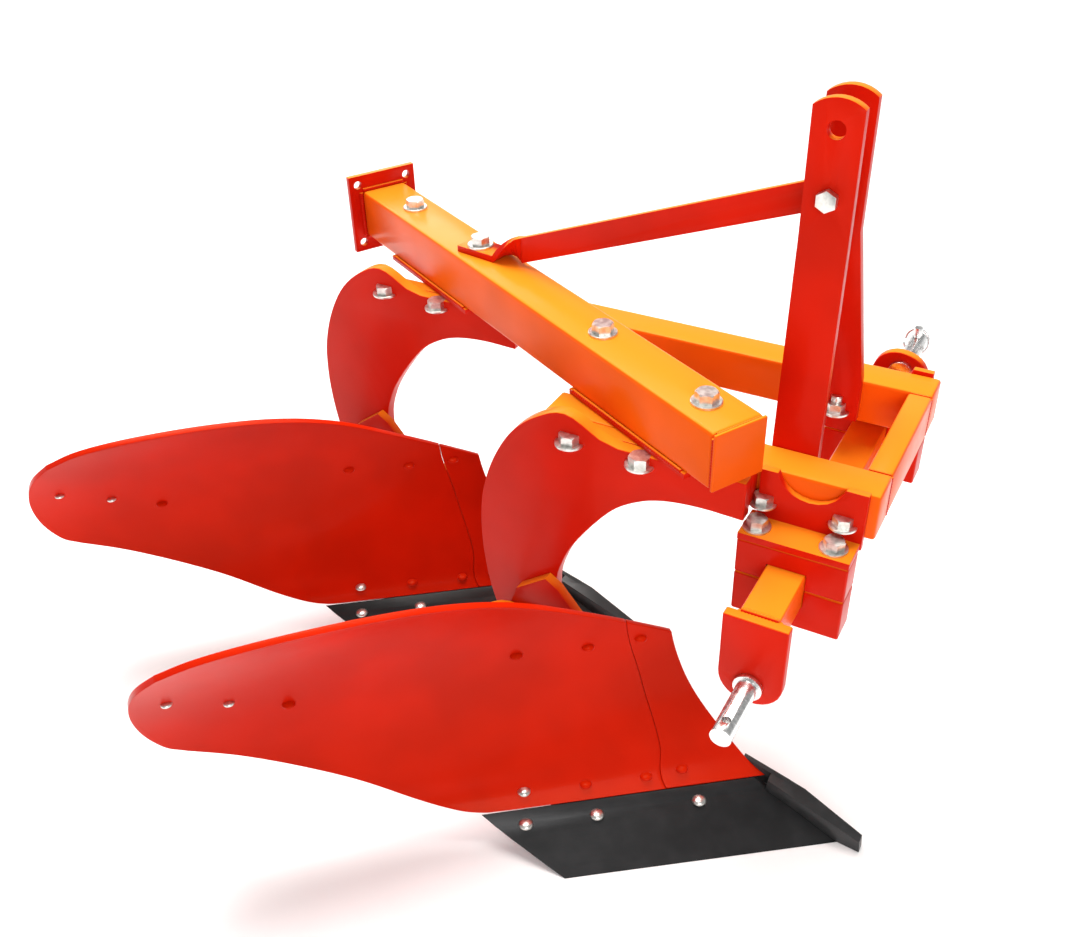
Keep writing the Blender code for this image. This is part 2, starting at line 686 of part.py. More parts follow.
def point_bar_solid(name, holder, clearance=0.0):
    """The bar that leads the share: a tongue along the landside and a head that tapers forward."""
    head = [(0.081, 0.041), (0.083, 0.064), (0.133, 0.0495), (0.224, 0.0205), (0.226, 0.0),
            (0.196, 0.0), (0.120, 0.022)]
    tongue = [(0.034, 0.052), (0.040, 0.0765), (0.083, 0.064), (0.110, 0.0562), (0.110, 0.028)]
    solids = []
    for part, outline, low in (("head", head, POINT_RIGHT), ("tongue", tongue, LANDSIDE_PLANE + GAP)):
        centre = sum((Vector(p) for p in outline), Vector((0, 0))) / len(outline)
        grown = [Vector(p) + (Vector(p) - centre).normalized() * clearance * 1.5 for p in outline]
        solid = flat_plate(f"{name}_{part}", [tuple(p) for p in grown], low - clearance, POINT_LEFT + clearance)
        for corner in solid.data.vertices:
            share = max(corner.co.x - POINT_TAPER_START, 0) / (POINT_TIP - POINT_TAPER_START)
            leftness = (corner.co.y - POINT_RIGHT) / (POINT_LEFT - POINT_RIGHT)
            corner.co.y -= share * (POINT_LEAN + leftness * POINT_NARROWING)
        solids.append(solid)
    bar, tongue = solids
    boolean(bar, cutter(tongue, holder), "UNION")
    bar.name = name
    return bar


def standard(name, holder):
    """The swan-neck plate that carries a body."""
    outer = [(STANDARD_ARM_FRONT_X, BAR_TOP), (-0.160, BAR_TOP)]
    neck = [Vector(p) for p in (
        (-0.186, 0.573), (-0.236, 0.598), (-0.279, 0.581), (-0.315, 0.550), (-0.342, 0.508),
        (-0.361, 0.461), (-0.372, 0.410), (-0.374, 0.340), (-0.364, 0.262), (-0.342, 0.190),
        (-0.318, 0.104))]
    throat = [Vector(p) for p in (
        (-0.228, 0.104), (-0.246, 0.200), (-0.254, 0.300), (-0.243, 0.352), (-0.218, 0.400),
        (-0.172, 0.461), (-0.134, 0.490), (-0.095, 0.505), (-0.045, 0.511),
        (STANDARD_ARM_FRONT_X, 0.510))]
    outline = outer + [tuple(p) for p in spline_points(neck, 4)]
    outline += [tuple(p) for p in spline_points(throat, 4)]
    plate = flat_plate(f"standard_{name}", outline, STANDARD_Y, STANDARD_LEFT)
    bevel(plate, 0.0012, 1)
    place(plate, PAINT, holder)


def frog(name, holder, skin, ground, point):
    """The bracket behind the plates: an upright plate and a curved seat, in one."""
    right = STANDARD_Y - GAP - FROG_PLATE
    outline = [(-0.262, 0.325), (-0.243, 0.312), (-0.195, 0.252)]
    outline += nose(STANDARD_Y, (0.245, 0.200, 0.150, 0.110, 0.080, 0.055, 0.030))
    outline += [(0.100, 0.008), (-0.300, 0.008), (-0.318, 0.060), (-0.330, 0.140),
                (-0.335, 0.220), (-0.310, 0.290)]
    plate = flat_plate(f"frog_{name}", outline, right, STANDARD_Y - GAP)
    depth = BODY_PLATE - GAP
    seat = patch(f"frog_seat_{name}", ((0.020, 0.026), (0.340, 0.026)), ((0.020, 0.175), (0.220, 0.175)),
                 ((0.020, 0.026), (0.020, 0.175)), ((0.340, 0.026), (0.220, 0.175)), 12, 8,
                 front=-depth, back=depth + FROG_SEAT)
    boolean(plate, cutter(seat, holder), "UNION")
    boolean(plate, skin)
    land_space = box(f"land_space_{name}", (-0.5, STANDARD_Y - GAP, -0.1), (0.3, 0.2, 0.5))
    boolean(plate, cutter(land_space, holder))
    boolean(plate, point)
    boolean(plate, ground)
    place(plate, PAINT, holder)


def landside(name, holder, skin, point):
    """The flat bar that runs along the furrow wall, from the share back to the heel."""
    outline = [(LANDSIDE_REAR_X, LANDSIDE_HEIGHT), (LANDSIDE_REAR_X, 0.0)]
    outline += nose(STANDARD_Y, (0.0, 0.030, 0.055, 0.075, LANDSIDE_HEIGHT))
    plate = flat_plate(f"landside_{name}", outline, STANDARD_Y, STANDARD_Y + LANDSIDE_THICKNESS)
    boolean(plate, skin)
    boolean(plate, point)
    place(plate, BLACK_STEEL, holder)


def brace(name, holder):
    """A flat bar from the standard's foot to the back of the mouldboard's tail."""
    depth = BODY_PLATE + 4 * GAP + BRACE_THICKNESS / 2
    half = BRACE_WIDTH / 2
    stations = []
    for u, height in ((0.694, 0.322), (0.650, 0.311), (0.600, 0.299), (0.550, 0.281), (0.515, 0.268)):
        lift = (surface(u, height + 0.01) - surface(u, height - 0.01)).normalized()
        stations.append((behind(u, height, depth), lift * half))
    plane = STANDARD_Y - 2 * GAP - FROG_PLATE - BRACE_THICKNESS / 2
    leave = stations[-1][0]
    corner = Vector((-0.345, plane, 0.245))
    for share in (0.3, 0.6, 0.85):
        centre = leave.lerp(corner + Vector((-0.004, -0.012, 0)), share)
        stations.append((centre, (stations[4][1].normalized().lerp(Vector((0, 0, 1)), share)).normalized() * half))
    for x in (-0.340, -0.332, -0.322):
        bow = -0.010 * ((x + 0.322) / 0.018) ** 2
        stations.append((Vector((x, plane + bow, 0.245)), Vector((0, 0, half))))
    stations.append((Vector((-0.270, plane, 0.245)), Vector((0, 0, half))))
    made = ribbon(f"mouldboard_brace_{name}", stations, BRACE_THICKNESS)
    place(made, ZINC_STEEL, holder)


def body(name, shift):
    holder = empty(f"body_{name}", shift)
    point, ground, skin = body_cutters(name, holder)
    place(point_bar_solid(f"share_point_{name}", holder), BLACK_STEEL, holder)

    low, high = SHARE_LAND_END
    share = patch(f"share_{name}", (low, SHARE_WING[0]), (high, SHARE_WING[1]),
                  SHARE_LAND_END, SHARE_WING, 20, 5)
    boolean(share, ground)
    boolean(share, point)
    place(share, BLACK_STEEL, holder)

    seam_right = [(u - SEAM, height) for u, height in SHIN_SEAM]
    shin = patch(f"shin_{name}", ((0.000, SHARE_HEIGHT + SEAM), (0.147 - SEAM, SHARE_HEIGHT + SEAM)),
                 SHIN_TOP, ((0.000, SHARE_HEIGHT + SEAM), (0.000, 0.271)), seam_right, 6, 16)
    boolean(shin, point)
    place(shin, PAINT, holder)

    board = patch(f"mouldboard_{name}", BOARD_BOTTOM, BOARD_TOP, SHIN_SEAM, BOARD_TAIL, 40, 16)
    place(board, PAINT, holder)

    standard(name, holder)
    frog(name, holder, skin, ground, point)
    landside(name, holder, skin, point)
    brace(name, holder)


# ---------------------------------------------------------------- assembly
def stand_over_origin():
    """Moves the plough so that the middle of its box stands over the origin."""
    bpy.context.view_layer.update()
    graph = bpy.context.evaluated_depsgraph_get()
    lows, highs = Vector((9, 9, 9)), Vector((-9, -9, -9))
    for item in PLOUGH.objects:
        if item.type != "MESH":
            continue
        solid = item.evaluated_get(graph)
        for corner in solid.bound_box:
            at = solid.matrix_world @ Vector(corner)
            lows = Vector(map(min, lows, at))
            highs = Vector(map(max, highs, at))
    ROOT.location = (-(lows.x + highs.x) / 2, -(lows.y + highs.y) / 2, -lows.z)


main_beam()
end_plate()
pads_and_web()
standard_webs()
headstock_frame()
mast_upright("mast_upright_right", -1)
mast_upright("mast_upright_left", 1)
mast_stay()
stay_bolt()
hitch()
body("front", Vector((0, 0, 0)))
body("rear", BODY_STEP)
stand_over_origin()
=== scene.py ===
# %% [markdown]
# # A two-furrow mouldboard plough
# A plough is mostly plate steel: thick flat bars, square tubes and one beautifully
# bent sheet, the mouldboard. The CAD frame already has every piece at its real place
# and size, so this script only adds the surface: rounded edges, fine curved plates,
# bolts, welds and paint.

# %% Load the frame
import json
import math

import bmesh
import bpy
from mathutils import Matrix, Vector

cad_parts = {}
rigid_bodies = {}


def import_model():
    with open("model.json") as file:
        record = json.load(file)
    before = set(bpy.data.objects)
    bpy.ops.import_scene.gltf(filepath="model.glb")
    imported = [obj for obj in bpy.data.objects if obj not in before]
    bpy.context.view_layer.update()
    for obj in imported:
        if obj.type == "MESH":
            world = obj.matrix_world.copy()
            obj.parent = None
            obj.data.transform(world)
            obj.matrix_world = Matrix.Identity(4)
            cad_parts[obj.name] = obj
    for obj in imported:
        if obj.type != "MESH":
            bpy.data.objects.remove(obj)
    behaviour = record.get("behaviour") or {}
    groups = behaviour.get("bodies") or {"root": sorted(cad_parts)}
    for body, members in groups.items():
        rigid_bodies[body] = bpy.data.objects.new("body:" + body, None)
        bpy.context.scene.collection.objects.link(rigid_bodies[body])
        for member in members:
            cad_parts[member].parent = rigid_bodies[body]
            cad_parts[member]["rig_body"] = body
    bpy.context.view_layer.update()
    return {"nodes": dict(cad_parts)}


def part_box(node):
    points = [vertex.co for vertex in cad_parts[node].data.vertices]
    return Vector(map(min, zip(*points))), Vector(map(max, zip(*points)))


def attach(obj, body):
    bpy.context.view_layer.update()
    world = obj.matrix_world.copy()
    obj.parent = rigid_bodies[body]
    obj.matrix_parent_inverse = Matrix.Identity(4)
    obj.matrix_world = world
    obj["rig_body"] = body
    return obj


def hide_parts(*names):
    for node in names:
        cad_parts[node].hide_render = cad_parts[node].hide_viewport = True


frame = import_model()
NODES = frame["nodes"]

# %% [markdown]
# The frame's pieces tell us where the plough's own drawing starts. The drawing is laid
# out from the centre of the beam's front end, with its heights measured from the
# ground. The right crank arm gives the sideways place, and the cross shaft the
# lengthways one, so nothing is typed twice.

# %% Find the drawing's origin in the frame
SHAFT_FROM_START = 0.075
ARM_FROM_START = -0.108
arm_low, arm_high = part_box("crank_arm_right")
START = Vector(((arm_low.x + arm_high.x) / 2 - SHAFT_FROM_START, arm_low.y - ARM_FROM_START, 0))
SWEEP = math.radians(28.7)
ALONG = Vector((-math.cos(SWEEP), math.sin(SWEEP), 0))
ACROSS = Vector((math.sin(SWEEP), math.cos(SWEEP), 0))
UP = Vector((0, 0, 1))
BODY_STEP = ALONG * 0.5366
BEAM_TOP = 0.655
BODIES = {"front": Vector((0, 0, 0)), "rear": BODY_STEP}
print("drawing starts at", [round(v, 4) for v in START])


def at(x, y, z):
    """A point of the drawing, in the frame."""
    return START + Vector((x, y, z))


# %% [markdown]
# Paint in a catalogue picture is judged by its highlights, so the colours are kept
# saturated with the Standard view transform. The world is a plain white room, and
# three big soft lamps give the deep red sides; the bright upper faces come from these
# lamps and from painted top light in the enamel. A wide sun keeps the far floor as white as the near
# one.

# %% Studio
scene = bpy.context.scene
scene.view_settings.view_transform = "Standard"
scene.view_settings.exposure = 0.0

room = bpy.data.worlds.new("white_room")
room.use_nodes = True
ROOM_LIGHT = 0.42
BACKDROP = 1.0
backdrop = room.node_tree.nodes["Background"]
backdrop.inputs["Color"].default_value = (1, 1, 1, 1)
seen = room.node_tree.nodes.new("ShaderNodeLightPath")
strength = room.node_tree.nodes.new("ShaderNodeMapRange")
strength.inputs["To Min"].default_value = ROOM_LIGHT
strength.inputs["To Max"].default_value = BACKDROP
room.node_tree.links.new(seen.outputs["Is Camera Ray"], strength.inputs["Value"])
room.node_tree.links.new(strength.outputs["Result"], backdrop.inputs["Strength"])
scene.world = room


def soft_lamp(name, place, aim, size, power, colour=(1, 1, 1)):
    data = bpy.data.lights.new(name, "AREA")
    data.shape = "SQUARE"
    data.size = size
    data.energy = power
    data.color = colour
    lamp = bpy.data.objects.new(name, data)
    lamp.location = place
    lamp.rotation_euler = (Vector(aim) - Vector(place)).to_track_quat("-Z", "Y").to_euler()
    scene.collection.objects.link(lamp)


soft_lamp("overhead", (-0.3, 0.6, 3.2), (0, 0, 0.4), 2.4, 72, (1.0, 0.97, 0.90))
soft_lamp("right_front", (2.2, -2.6, 1.9), (0, 0, 0.4), 1.8, 52)
soft_lamp("back_left", (-2.4, 2.2, 2.0), (0, 0, 0.5), 2.0, 30)

sun_data = bpy.data.lights.new("wide_sun", "SUN")
sun_data.energy = 2.3
sun_data.angle = math.radians(34)
wide_sun = bpy.data.objects.new("wide_sun", sun_data)
wide_sun.rotation_euler = (math.radians(-10), math.radians(-12), 0)
scene.collection.objects.link(wide_sun)

# %% [markdown]
# The floor is one large pale plane under the shares. It is not part of the plough.

# %% Floor
floor_mesh = bpy.data.meshes.new("floor")
floor_sheet = bmesh.new()
bmesh.ops.create_grid(floor_sheet, x_segments=1, y_segments=1, size=30)
floor_sheet.to_mesh(floor_mesh)
floor_sheet.free()
floor = bpy.data.objects.new("floor", floor_mesh)
floor.location = (0, 0, -0.0005)
scene.collection.objects.link(floor)

# %% [markdown]
# The camera stands to the front right of the plough, a little above the mast, and
# looks down along the beam. Its place comes from the drawing's origin, and its turn
# from three plain angles.

# %% Camera
CAMERA_PLACE = at(0.3531, -1.0947, 0.7256 + BEAM_TOP)
CAMERA_HEADING = math.radians(119.59)
CAMERA_PITCH = math.radians(34.69)
CAMERA_ROLL = math.radians(-1.72)
look = Vector((math.cos(CAMERA_HEADING) * math.cos(CAMERA_PITCH),
               math.sin(CAMERA_HEADING) * math.cos(CAMERA_PITCH),
               -math.sin(CAMERA_PITCH)))
side = Vector((look.y, -look.x, 0)).normalized()
above = side.cross(look)
right = side * math.cos(CAMERA_ROLL) + above * math.sin(CAMERA_ROLL)
upward = above * math.cos(CAMERA_ROLL) - side * math.sin(CAMERA_ROLL)

camera_data = bpy.data.cameras.new("camera")
camera_data.sensor_width = 36
camera_data.lens = 38.385
camera = bpy.data.objects.new("camera", camera_data)
camera_turn = Matrix((right, upward, -look)).transposed().to_4x4()
camera.matrix_world = Matrix.Translation(CAMERA_PLACE) @ camera_turn
scene.collection.objects.link(camera)
scene.camera = camera

# %% [markdown]
# ## Finishes
# Shader maths reads best as maths. This small class wraps a socket, so
# `height * 0.3 + grain` adds the right Math nodes by itself.


# %% Shader maths
class Wire:
    """A socket that can be added and multiplied like a number."""

    def __init__(self, sheet, socket):
        self.sheet = sheet
        self.socket = socket

    def maths(self, operation, *values):
        return self.sheet.node("ShaderNodeMath", {"operation": operation}, dict(enumerate(values)))

    def __add__(self, other):
        return self.maths("ADD", self, other)

    __radd__ = __add__

    def __mul__(self, other):
        return self.maths("MULTIPLY", self, other)

    def between(self, low, high):
        """0 below low, 1 above high, and a smooth rise from one to the other."""
        return self.sheet.node("ShaderNodeMapRange", {"interpolation_type": "SMOOTHSTEP"},
                               {"Value": self, "From Min": low, "From Max": high})


class Sheet:
    """One material being drawn: its node tree and its Principled shader."""

    def __init__(self, name):
        self.material = bpy.data.materials.new(name)
        self.material.use_nodes = True
        self.tree = self.material.node_tree
        self.shader = self.tree.nodes["Principled BSDF"]

    def connect(self, value, socket):
        if isinstance(value, Wire):
            self.tree.links.new(value.socket, socket)
        else:
            socket.default_value = value

    def node(self, kind, settings, values, output=0):
        made = self.tree.nodes.new(kind)
        for key, value in settings.items():
            setattr(made, key, value)
        for key, value in values.items():
            self.connect(value, made.inputs[key])
        return Wire(self, made.outputs[output])

    def place(self):
        return self.node("ShaderNodeTexCoord", {}, {}, "Object")

    def noise(self, scale, detail=3.0, stretch=(1, 1, 1)):
        spot = self.node("ShaderNodeMapping", {}, {"Vector": self.place(), "Scale": stretch})
        return self.node("ShaderNodeTexNoise", {}, {"Vector": spot, "Scale": scale, "Detail": detail})

    def upward(self):
        """1 on a face that looks straight up, 0 on an upright one, below 0 underneath."""
        facing = self.node("ShaderNodeNewGeometry", {}, {}, "Normal")
        return self.node("ShaderNodeSeparateXYZ", {}, {"Vector": facing}, "Z")

    def mix(self, share, first, second):
        made = self.tree.nodes.new("ShaderNodeMix")
        made.data_type = "RGBA"
        for value, name in ((share, "Factor_Float"), (first, "A_Color"), (second, "B_Color")):
            socket = next(s for s in made.inputs if s.identifier == name)
            self.connect(value, socket)
        return Wire(self, next(s for s in made.outputs if s.identifier == "Result_Color"))

    def bump(self, height, strength, distance):
        return self.node("ShaderNodeBump", {},
                         {"Height": height, "Strength": strength, "Distance": distance})

    def set(self, **values):
        for name, value in values.items():
            self.connect(value, self.shader.inputs[name.replace("_", " ")])
        return self.material


# %% [markdown]
# The paint is a thick orange-red enamel. It goes on wet, so it levels into a faint
# orange-peel skin and pools a shade darker in places. Faces that look up are painted
# a warm amber tone: painted top light, standing in for a strong light from above.


# %% Enamel
WARM_GLOSS = (1.0, 0.30, 0.12, 1)


def enamel(name, side_colour, painted_top_light, top_light_share, polish):
    sheet = Sheet(name)
    cloud = sheet.noise(7, 2)
    peel = sheet.noise(420, 2)
    drips = sheet.noise(26, 2, (1, 1, 0.35))
    # Painted top light: faces that look up are mixed towards the second colour, in place of light from
    # above.
    top_light_mask = sheet.upward().between(0.55, 0.98) * top_light_share
    deep = tuple(v * 0.80 for v in side_colour[:3]) + (1,)
    body = sheet.mix(cloud.between(0.30, 0.75), deep, side_colour)
    colour = sheet.mix(top_light_mask, body, painted_top_light)
    roughness = polish + drips * 0.10
    skin = sheet.bump(peel * 0.6 + drips, 0.10, 0.0006)
    sheet.set(Base_Color=colour, Roughness=roughness, Normal=skin, Specular_Tint=WARM_GLOSS)
    return sheet.set(Coat_Weight=0.03, Coat_Roughness=0.10, Specular_IOR_Level=0.20)


RED = (0.62, 0.009, 0.002, 1)
BRIGHT_RED = (0.88, 0.105, 0.003, 1)
BOARD_RED = (0.57, 0.009, 0.001, 1)
# Painted light: the amber that upward faces get in place of a strong light from above.
TOP_LIGHT_AMBER = (0.90, 0.250, 0.012, 1)
paint = enamel("red_enamel", RED, TOP_LIGHT_AMBER, 0.85, 0.30)
section_paint = enamel("orange_red_enamel", BRIGHT_RED, TOP_LIGHT_AMBER, 1.0, 0.28)
# The mouldboard's second colour is painted top light too, at half strength.
board_paint = enamel("mouldboard_enamel", BOARD_RED, (0.64, 0.024, 0.002, 1), 0.5, 0.26)

# %% [markdown]
# Shares and points are sold in black paint over rolled steel. Under the paint, the
# rolling and grinding leave long faint scratches, which catch a grey sheen.


# %% Black steel
def black_steel(name, tone, polish):
    sheet = Sheet(name)
    scratches = sheet.noise(60, 4, (0.4, 0.4, 6))
    mottle = sheet.noise(34, 5)
    grit = sheet.noise(900, 1)
    dark = tuple(v * 0.55 for v in tone[:3]) + (1,)
    colour = sheet.mix(mottle.between(0.35, 0.75), dark, tone)
    roughness = polish + scratches * 0.16 + mottle * 0.10
    skin = sheet.bump(scratches + grit * 0.5 + mottle, 0.22, 0.0006)
    sheet.set(Base_Color=colour, Roughness=roughness, Normal=skin)
    return sheet.set(Specular_IOR_Level=0.38, Coat_Weight=0.08, Coat_Roughness=0.25)


share_black = black_steel("share_black", (0.010, 0.010, 0.011, 1), 0.26)
point_black = black_steel("point_black", (0.030, 0.030, 0.031, 1), 0.30)

# %% [markdown]
# Bolts and hitch pins are zinc plated. Zinc is a soft bright metal with a slightly
# uneven frost, so its roughness wanders while its colour hardly changes.


# %% Zinc
def zinc(name, tone, polish):
    sheet = Sheet(name)
    frost = sheet.noise(150, 4)
    turned = sheet.noise(500, 2, (1, 0.05, 1))
    dull = tuple(v * 0.72 for v in tone[:3]) + (1,)
    colour = sheet.mix(frost.between(0.3, 0.7), dull, tone)
    skin = sheet.bump(frost + turned, 0.12, 0.0004)
    sheet.set(Base_Color=colour, Roughness=polish + frost * 0.22, Normal=skin)
    return sheet.set(Metallic=1.0)


bolt_zinc = zinc("bolt_zinc", (0.80, 0.79, 0.75, 1), 0.22)
pin_zinc = zinc("pin_zinc", (0.88, 0.88, 0.87, 1), 0.14)

# %% [markdown]
# The floor is a matt off-white board, with just enough grain to take a soft shadow.

# %% Floor finish
board = Sheet("floor_board")
board_grain = board.noise(9, 2)
floor.data.materials.append(board.set(
    Base_Color=board.mix(board_grain, (0.93, 0.93, 0.93, 1), (0.97, 0.97, 0.97, 1)), Roughness=0.9))

# %% [markdown]
# ## Plates and tubes
# A CAD solid has knife-sharp edges, but real steel never does: a sawn bar has a small
# broken edge and a rolled tube a round one. Each piece is a copy of its CAD node with
# its loose triangles welded, its flat faces made whole again, and a narrow bevel run
# round every corner. The bevel is what makes an edge shine.


# %% Soften the edges of a CAD node
def finish(piece, body, material, slot, *nodes):
    """Hands a finished piece over: its material, its body and the node it stands for."""
    piece.data.materials.clear()
    piece.data.materials.append(material)
    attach(piece, body)
    if nodes:
        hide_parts(*nodes)
    return piece


def applied(piece):
    """The same piece with its modifiers turned into mesh."""
    graph = bpy.context.evaluated_depsgraph_get()
    mesh = bpy.data.meshes.new_from_object(piece.evaluated_get(graph))
    piece.modifiers.clear()
    piece.data = mesh
    return piece


def softened(node, width, segments=2, limit=30):
    """A copy of a CAD node with whole faces and bevelled edges."""
    mesh = NODES[node].data.copy()
    piece = bpy.data.objects.new(f"{node}_steel", mesh)
    scene.collection.objects.link(piece)
    work = bmesh.new()
    work.from_mesh(mesh)
    bmesh.ops.remove_doubles(work, verts=work.verts, dist=0.00002)
    bmesh.ops.dissolve_limit(work, angle_limit=math.radians(1.2), verts=work.verts, edges=work.edges)
    work.to_mesh(mesh)
    work.free()
    rounding = piece.modifiers.new("rounding", "BEVEL")
    rounding.width = width
    rounding.segments = segments
    rounding.limit_method = "ANGLE"
    rounding.angle_limit = math.radians(limit)
    rounding.use_clamp_overlap = True
    rounding.harden_normals = True
    mesh.shade_smooth()
    applied(piece)
    piece.data.shade_smooth()
    piece.data.set_sharp_from_angle(angle=math.radians(35))
    return piece


# %% [markdown]
# One table says which edge each piece has: the tubes already carry their rolled
# corners from CAD, thick plates get a sawn edge, and thin plates a fine one.

# %% Soften every straight piece
EDGES = {
    "main_beam": (0.0012, "orange_red_paint", section_paint),
    "beam_front_cap": (0.0010, "orange_red_paint", section_paint),
    "beam_end_plate": (0.0012, "red_paint", paint),
    "beam_pad_front": (0.0012, "red_paint", paint),
    "beam_pad_rear": (0.0012, "red_paint", paint),
    "frame_right_bar": (0.0010, "orange_red_paint", section_paint),
    "frame_left_bar": (0.0010, "orange_red_paint", section_paint),
    "frame_front_bar": (0.0010, "orange_red_paint", section_paint),
    "mast_upright_right": (0.0012, "red_paint", paint),
    "mast_upright_left": (0.0012, "red_paint", paint),
    "mast_stay": (0.0010, "red_paint", paint),
    "hitch_bracket_right": (0.0012, "red_paint", paint),
    "hitch_bracket_left": (0.0012, "red_paint", paint),
    "clamp_block_upper_right": (0.0010, "red_paint", paint),
    "clamp_block_lower_right": (0.0010, "red_paint", paint),
    "clamp_block_upper_left": (0.0010, "red_paint", paint),
    "clamp_block_lower_left": (0.0010, "red_paint", paint),
    "cross_shaft": (0.0010, "orange_red_paint", section_paint),
    "crank_arm_right": (0.0008, "red_paint", paint),
    "crank_arm_left": (0.0008, "red_paint", paint),
    "stay_bolt": (0.0005, "zinc_steel", bolt_zinc),
    "hitch_pin_right": (0.0006, "zinc_steel", pin_zinc),
    "hitch_pin_left": (0.0006, "zinc_steel", pin_zinc),
}
for name in BODIES:
    EDGES[f"standard_{name}"] = (0.0016, "red_paint", paint)
    EDGES[f"standard_web_{name}"] = (0.0015, "red_paint", paint)
    EDGES[f"frog_{name}"] = (0.0008, "red_paint", paint)
    EDGES[f"landside_{name}"] = (0.0012, "black_steel", share_black)
    EDGES[f"share_point_{name}"] = (0.0016, "black_steel", point_black)
    EDGES[f"mouldboard_brace_{name}"] = (0.0008, "red_paint", paint)

MOVING = {node for node, piece in NODES.items() if piece["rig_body"] == "cross_shaft"}
for node, (width, slot, material) in EDGES.items():
    steel = softened(node, width)
    finish(steel, "cross_shaft" if node in MOVING else "plough", material, slot, node)
print(len(EDGES), "straight pieces softened")

# %% [markdown]
# ## The working surface
# The soil-turning surface follows a rule. Level lines lie on it, as in an old
# wooden mould: `u` runs level from the land edge, back and out over the furrow, and
# each higher line is set further back and turned a little more. Share, shin and
# mouldboard are three patches of this one surface, which is why soil slides over
# their joints.

# %% The rule of the surface
LAND_PLANE = 0.030
EDGE_START = 0.222
EDGE_ANGLE = math.radians(36.5)
TWIST = math.radians(10.0)
LAND_EDGE = ((-0.040, -0.105), (0.000, 0.000), (0.056, 0.147), (0.106, 0.207), (0.163, 0.257),
             (0.210, 0.284), (0.270, 0.303), (0.330, 0.307), (0.390, 0.298), (0.450, 0.278))
PLATE = 0.009


def set_back(height):
    """How far the land edge lies behind the share's start, at a height."""
    table = LAND_EDGE
    span = 0
    while span < len(table) - 2 and height > table[span + 1][0]:
        span += 1

    def slope(index):
        low, high = max(index - 1, 0), min(index + 1, len(table) - 1)
        return (table[high][1] - table[low][1]) / (table[high][0] - table[low][0])

    (h0, d0), (h1, d1) = table[span], table[span + 1]
    width = h1 - h0
    t = (height - h0) / width
    return ((1 + 2 * t) * (1 - t) ** 2 * d0 + t * (1 - t) ** 2 * width * slope(span)
            + t * t * (3 - 2 * t) * d1 + t * t * (t - 1) * width * slope(span + 1))


def surface(u, height):
    angle = EDGE_ANGLE + TWIST * (max(height, 0) / 0.400) ** 1.3
    return at(EDGE_START - set_back(height) - u * math.cos(angle),
              LAND_PLANE - u * math.sin(angle), height)


def facing(u, height):
    """Unit normal of the surface on the side that the soil touches."""
    step = 0.004
    along = surface(u + step, height) - surface(u - step, height)
    upward = surface(u, height + step) - surface(u, height - step)
    normal = upward.cross(along).normalized()
    return normal if normal.x > 0 or normal.z > 0 else -normal


def on_surface(u, height, lift=0.0):
    return surface(u, height) + facing(u, height) * lift


# %% [markdown]
# A patch is bounded by four curves. Blending opposite curves, and taking away the
# blend of the corners, fills the space between them (a Coons patch). The plate is
# then closed with a back and a rim, and a bevel rounds the rim.


# %% Curved plates
def spline(points, steps):
    """A smooth line through the points."""
    points = [Vector(p) for p in points]
    if len(points) == 2:
        return points
    ends = [2 * points[0] - points[1]] + points + [2 * points[-1] - points[-2]]
    line = []
    for before, a, b, after in zip(ends, ends[1:], ends[2:], ends[3:]):
        for step in range(steps):
            t = step / steps
            line.append(0.5 * (2 * a + (b - before) * t + (2 * before - 5 * a + 4 * b - after) * t ** 2
                               + (3 * a - before - 3 * b + after) * t ** 3))
    return line + [points[-1]]


def evenly(points, count):
    """The same line with its points at equal distances."""
    lengths = [0]
    for a, b in zip(points, points[1:]):
        lengths.append(lengths[-1] + (b - a).length)
    even = []
    for index in range(count):
        goal = lengths[-1] * index / (count - 1)
        span = 0
        while span < len(points) - 2 and lengths[span + 1] < goal:
            span += 1
        share = (goal - lengths[span]) / max(lengths[span + 1] - lengths[span], 1e-9)
        even.append(points[span].lerp(points[span + 1], min(share, 1)))
    return even


def curved_plate(name, bottom, top, first, last, columns, rows, shift, cut_ground=False):
    """A plate between four curves of (u, height), moved to its body."""
    low, high = (evenly(spline(line, 24), columns + 1) for line in (bottom, top))
    start, end = (evenly(spline(line, 24), rows + 1) for line in (first, last))
    work = bmesh.new()
    skins = []
    for depth in (0.0, -PLATE):
        grid = []
        for i in range(columns + 1):
            s = i / columns
            line = []
            for j in range(rows + 1):
                t = j / rows
                across = low[i].lerp(high[i], t)
                along = start[j].lerp(end[j], s)
                corners = low[0].lerp(high[0], t).lerp(low[-1].lerp(high[-1], t), s)
                u, height = across + along - corners
                point = on_surface(u, height, depth) + shift
                if cut_ground:
                    point.z = max(point.z, 0.0)
                line.append(work.verts.new(point))
            grid.append(line)
        skins.append(grid)
    front, back = skins
    for grid in skins:
        for a, b in zip(grid, grid[1:]):
            for j in range(rows):
                work.faces.new((a[j], a[j + 1], b[j + 1], b[j]))
    for i in range(columns):
        for j in (0, rows):
            work.faces.new((front[i][j], front[i + 1][j], back[i + 1][j], back[i][j]))
    for j in range(rows):
        for i in (0, columns):
            work.faces.new((front[i][j], front[i][j + 1], back[i][j + 1], back[i][j]))
    bmesh.ops.recalc_face_normals(work, faces=work.faces)
    mesh = bpy.data.meshes.new(name)
    work.to_mesh(mesh)
    work.free()
    piece = bpy.data.objects.new(name, mesh)
    scene.collection.objects.link(piece)
    rim = piece.modifiers.new("rim", "BEVEL")
    rim.width = 0.0014
    rim.segments = 3
    rim.limit_method = "ANGLE"
    rim.angle_limit = math.radians(40)
    applied(piece)
    piece.data.shade_smooth()
    piece.data.set_sharp_from_angle(angle=math.radians(50))
    return piece


# %% [markdown]
# The mouldboard's outline rises from the shin to a long rounded back and ends in a
# blunt tail. The shin is a separate hardened strip on the land side, because it
# wears first.

